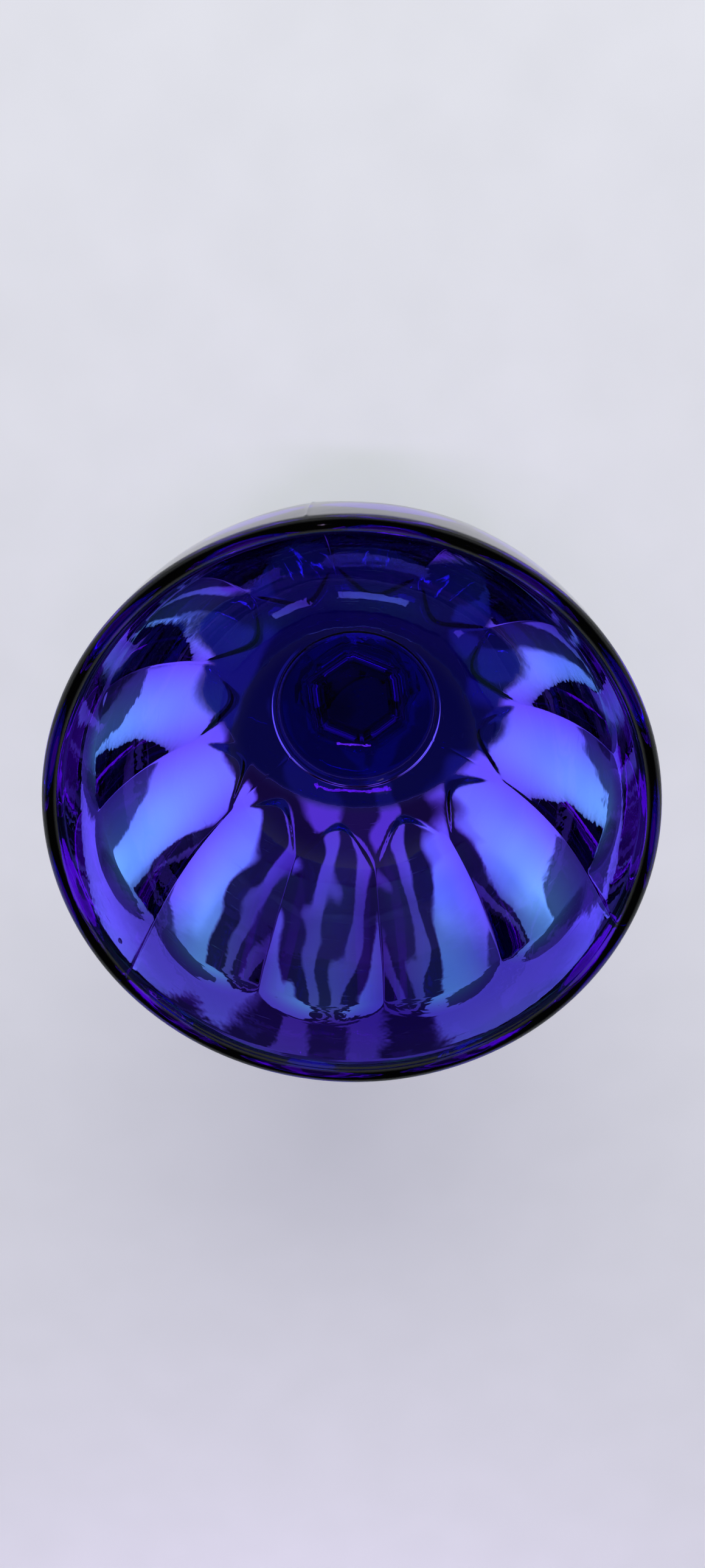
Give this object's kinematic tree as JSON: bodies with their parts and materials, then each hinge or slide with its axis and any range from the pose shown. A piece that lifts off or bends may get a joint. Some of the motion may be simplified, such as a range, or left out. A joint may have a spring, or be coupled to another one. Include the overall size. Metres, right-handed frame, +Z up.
{
  "type": "footed glass dessert bowl",
  "caption": "Cobalt-blue pressed-glass dessert bowl with hollow flutes, on a short six-sided stem and a flat round foot.",
  "frame": {"origin": "centre of the foot's flat underside, where the dish stands on a table", "axes": "+Z up along the turning axis, from the foot to the mouth; a ridge between two flutes at +X, and a mould seam at 30, 150 and 270 degrees from +X"},
  "size_m": [0.095, 0.095, 0.088],
  "materials": {
    "bowl_glass": "fire-polished cobalt-blue pressed glass, clear and glossy, darker where it is thicker",
    "stem_glass": "fire-polished cobalt-blue pressed glass, nearly black through its full thickness",
    "foot_glass": "fire-polished cobalt-blue pressed glass, clear and glossy, with a flat polished underside"
  },
  "bodies": {
    "root": {"bowl": "bowl_glass", "stem": "stem_glass", "foot": "foot_glass"}
  },
  "joints": []
}
